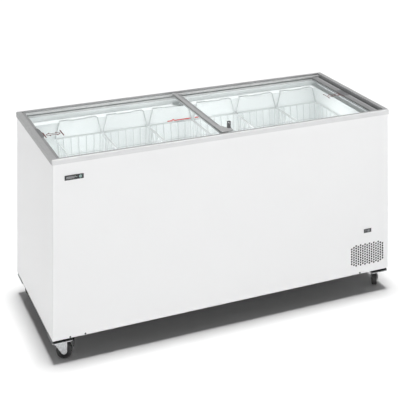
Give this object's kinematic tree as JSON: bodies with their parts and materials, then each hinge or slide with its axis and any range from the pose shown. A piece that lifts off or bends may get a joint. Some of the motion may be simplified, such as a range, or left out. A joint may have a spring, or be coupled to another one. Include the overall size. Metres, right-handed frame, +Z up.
{
  "type": "chest freezer",
  "caption": "Long white chest freezer with flat sliding glass lids, hanging wire baskets, a key lock and swivel casters for shop display.",
  "frame": {"origin": "on the floor under the middle of the cabinet", "axes": "+X along the cabinet to the machinery end, +Y to the back, +Z up"},
  "size_m": [1.552, 0.631, 0.837],
  "materials": {
    "basket_wire": "white plastic coated steel wire",
    "black_enamel": "black enamel",
    "black_plastic": "black moulding",
    "chrome": "polished",
    "dark_grey_plastic": "dark grey moulding",
    "galvanised_steel": "zinc coated",
    "grey_plastic": "extruded grey PVC",
    "insulation_foam": "rigid polyurethane foam",
    "lid_glass": "clear toughened glass with a mint edge",
    "lid_profile_dark": "satin grey",
    "lid_profile_light": "satin grey",
    "liner_white": "white pre-coated sheet",
    "rubber": "black rubber",
    "satin_aluminium": "satin anodised",
    "tube_metal": "mill finish tube and fins",
    "wheel_black": "black moulded wheel",
    "white_enamel": "smooth gloss enamel on steel sheet",
    "white_plastic": "white moulding",
    "white_trim": "satin white coated aluminium",
    "zinc_plate": "bright zinc plate"
  },
  "bodies": {
    "cabinet": {"badge_plate": "black_plastic", "base_pan": "galvanised_steel", "caster_channels": "black_enamel", "caster_fasteners": "zinc_plate", "caster_plates": "zinc_plate", "compressor": "black_enamel", "compressor_grommets": "rubber", "condenser_coil": "tube_metal", "control_module": "black_plastic", "display_window": "black_plastic", "drain_plug": "white_plastic", "electrical_box": "black_plastic", "evaporator_tube": "tube_metal", "fan_motor": "black_plastic", "fan_shroud": "galvanised_steel", "foam_insulation": "insulation_foam", "front_panel": "white_enamel", "front_trim": "white_trim", "glide_strips": "grey_plastic", "left_end_rail": "satin_aluminium", "left_side_panel": "white_enamel", "liner": "liner_white", "machine_bulkhead": "galvanised_steel", "panel_screws": "zinc_plate", "power_inlet": "black_plastic", "rear_grille": "white_enamel", "rear_panel": "white_enamel", "rear_trim": "white_trim", "right_end_rail": "satin_aluminium", "right_side_panel": "white_enamel", "slide_tracks": "grey_plastic"},
    "left_lid": {"left_lid_glass": "lid_glass", "left_lid_outer_profile": "lid_profile_light", "left_lid_inner_profile": "lid_profile_light", "left_lid_pull": "dark_grey_plastic", "lock_bracket": "lid_profile_light", "lock_housing": "chrome"},
    "lock_plug": {"lock_plug": "chrome"},
    "right_lid": {"right_lid_glass": "lid_glass", "right_lid_outer_profile": "lid_profile_dark", "right_lid_inner_profile": "lid_profile_dark", "right_lid_pull": "dark_grey_plastic", "right_lid_seal": "rubber"},
    "fan": {"fan_blade": "black_plastic"},
    "basket_1": {"basket_1": "basket_wire"},
    "basket_2": {"basket_2": "basket_wire"},
    "basket_3": {"basket_3": "basket_wire"},
    "basket_4": {"basket_4": "basket_wire"},
    "basket_5": {"basket_5": "basket_wire"},
    "basket_6": {"basket_6": "basket_wire"},
    "fork_front_left": {"caster_fork_front_left": "zinc_plate", "caster_axle_front_left": "zinc_plate"},
    "wheel_front_left": {"caster_wheel_front_left": "wheel_black"},
    "pedal_front_left": {"brake_pedal_front_left": "black_plastic"},
    "fork_front_right": {"caster_fork_front_right": "zinc_plate", "caster_axle_front_right": "zinc_plate"},
    "wheel_front_right": {"caster_wheel_front_right": "wheel_black"},
    "pedal_front_right": {"brake_pedal_front_right": "black_plastic"},
    "fork_rear_left": {"caster_fork_rear_left": "zinc_plate", "caster_axle_rear_left": "zinc_plate"},
    "wheel_rear_left": {"caster_wheel_rear_left": "wheel_black"},
    "fork_rear_right": {"caster_fork_rear_right": "zinc_plate", "caster_axle_rear_right": "zinc_plate"},
    "wheel_rear_right": {"caster_wheel_rear_right": "wheel_black"}
  },
  "joints": [
    {"name": "left_lid_slide", "type": "slide", "parent": "cabinet", "child": "left_lid", "axis": [1, 0, 0], "range_m": [0, 0.72]},
    {"name": "right_lid_slide", "type": "slide", "parent": "cabinet", "child": "right_lid", "axis": [-1, 0, 0], "range_m": [0, 0.715]},
    {"name": "lock_turn", "type": "hinge", "parent": "left_lid", "child": "lock_plug", "pos_m": [0.013, -0.25, 0.82], "axis": [0, 0, 1], "range_deg": [0, 90]},
    {"name": "fan_spin", "type": "hinge", "parent": "cabinet", "child": "fan", "pos_m": [0.66, -0.24, 0.18], "axis": [0, 1, 0], "continuous": true},
    {"name": "basket_1_lift", "type": "slide", "parent": "cabinet", "child": "basket_1", "axis": [0, 0, 1], "range_m": [0, 0.015]},
    {"name": "basket_2_lift", "type": "slide", "parent": "cabinet", "child": "basket_2", "axis": [0, 0, 1], "range_m": [0, 0.015]},
    {"name": "basket_3_lift", "type": "slide", "parent": "cabinet", "child": "basket_3", "axis": [0, 0, 1], "range_m": [0, 0.015]},
    {"name": "basket_4_lift", "type": "slide", "parent": "cabinet", "child": "basket_4", "axis": [0, 0, 1], "range_m": [0, 0.015]},
    {"name": "basket_5_lift", "type": "slide", "parent": "cabinet", "child": "basket_5", "axis": [0, 0, 1], "range_m": [0, 0.015]},
    {"name": "basket_6_lift", "type": "slide", "parent": "cabinet", "child": "basket_6", "axis": [0, 0, 1], "range_m": [0, 0.015]},
    {"name": "swivel_front_left", "type": "hinge", "parent": "cabinet", "child": "fork_front_left", "pos_m": [-0.73, -0.262, 0.078], "axis": [0, 0, 1], "continuous": true},
    {"name": "wheel_spin_front_left", "type": "hinge", "parent": "fork_front_left", "child": "wheel_front_left", "pos_m": [-0.71309, -0.26816, 0.032], "axis": [0.342, 0.9397, 0], "continuous": true},
    {"name": "brake_press_front_left", "type": "hinge", "parent": "fork_front_left", "child": "pedal_front_left", "pos_m": [-0.70745, -0.27021, 0.069], "axis": [0.342, 0.9397, 0], "range_deg": [0, 8]},
    {"name": "swivel_front_right", "type": "hinge", "parent": "cabinet", "child": "fork_front_right", "pos_m": [0.73, -0.262, 0.078], "axis": [0, 0, 1], "continuous": true},
    {"name": "wheel_spin_front_right", "type": "hinge", "parent": "fork_front_right", "child": "wheel_front_right", "pos_m": [0.739, -0.24641, 0.032], "axis": [-0.866, 0.5, 0], "continuous": true},
    {"name": "brake_press_front_right", "type": "hinge", "parent": "fork_front_right", "child": "pedal_front_right", "pos_m": [0.742, -0.24122, 0.069], "axis": [-0.866, 0.5, 0], "range_deg": [0, 8]},
    {"name": "swivel_rear_left", "type": "hinge", "parent": "cabinet", "child": "fork_rear_left", "pos_m": [-0.73, 0.262, 0.078], "axis": [0, 0, 1], "continuous": true},
    {"name": "wheel_spin_rear_left", "type": "hinge", "parent": "fork_rear_left", "child": "wheel_rear_left", "pos_m": [-0.71369, 0.26961, 0.032], "axis": [-0.4226, 0.9063, 0], "continuous": true},
    {"name": "swivel_rear_right", "type": "hinge", "parent": "cabinet", "child": "fork_rear_right", "pos_m": [0.73, 0.262, 0.078], "axis": [0, 0, 1], "continuous": true},
    {"name": "wheel_spin_rear_right", "type": "hinge", "parent": "fork_rear_right", "child": "wheel_rear_right", "pos_m": [0.74379, 0.27357, 0.032], "axis": [-0.6428, 0.766, 0], "continuous": true}
  ]
}
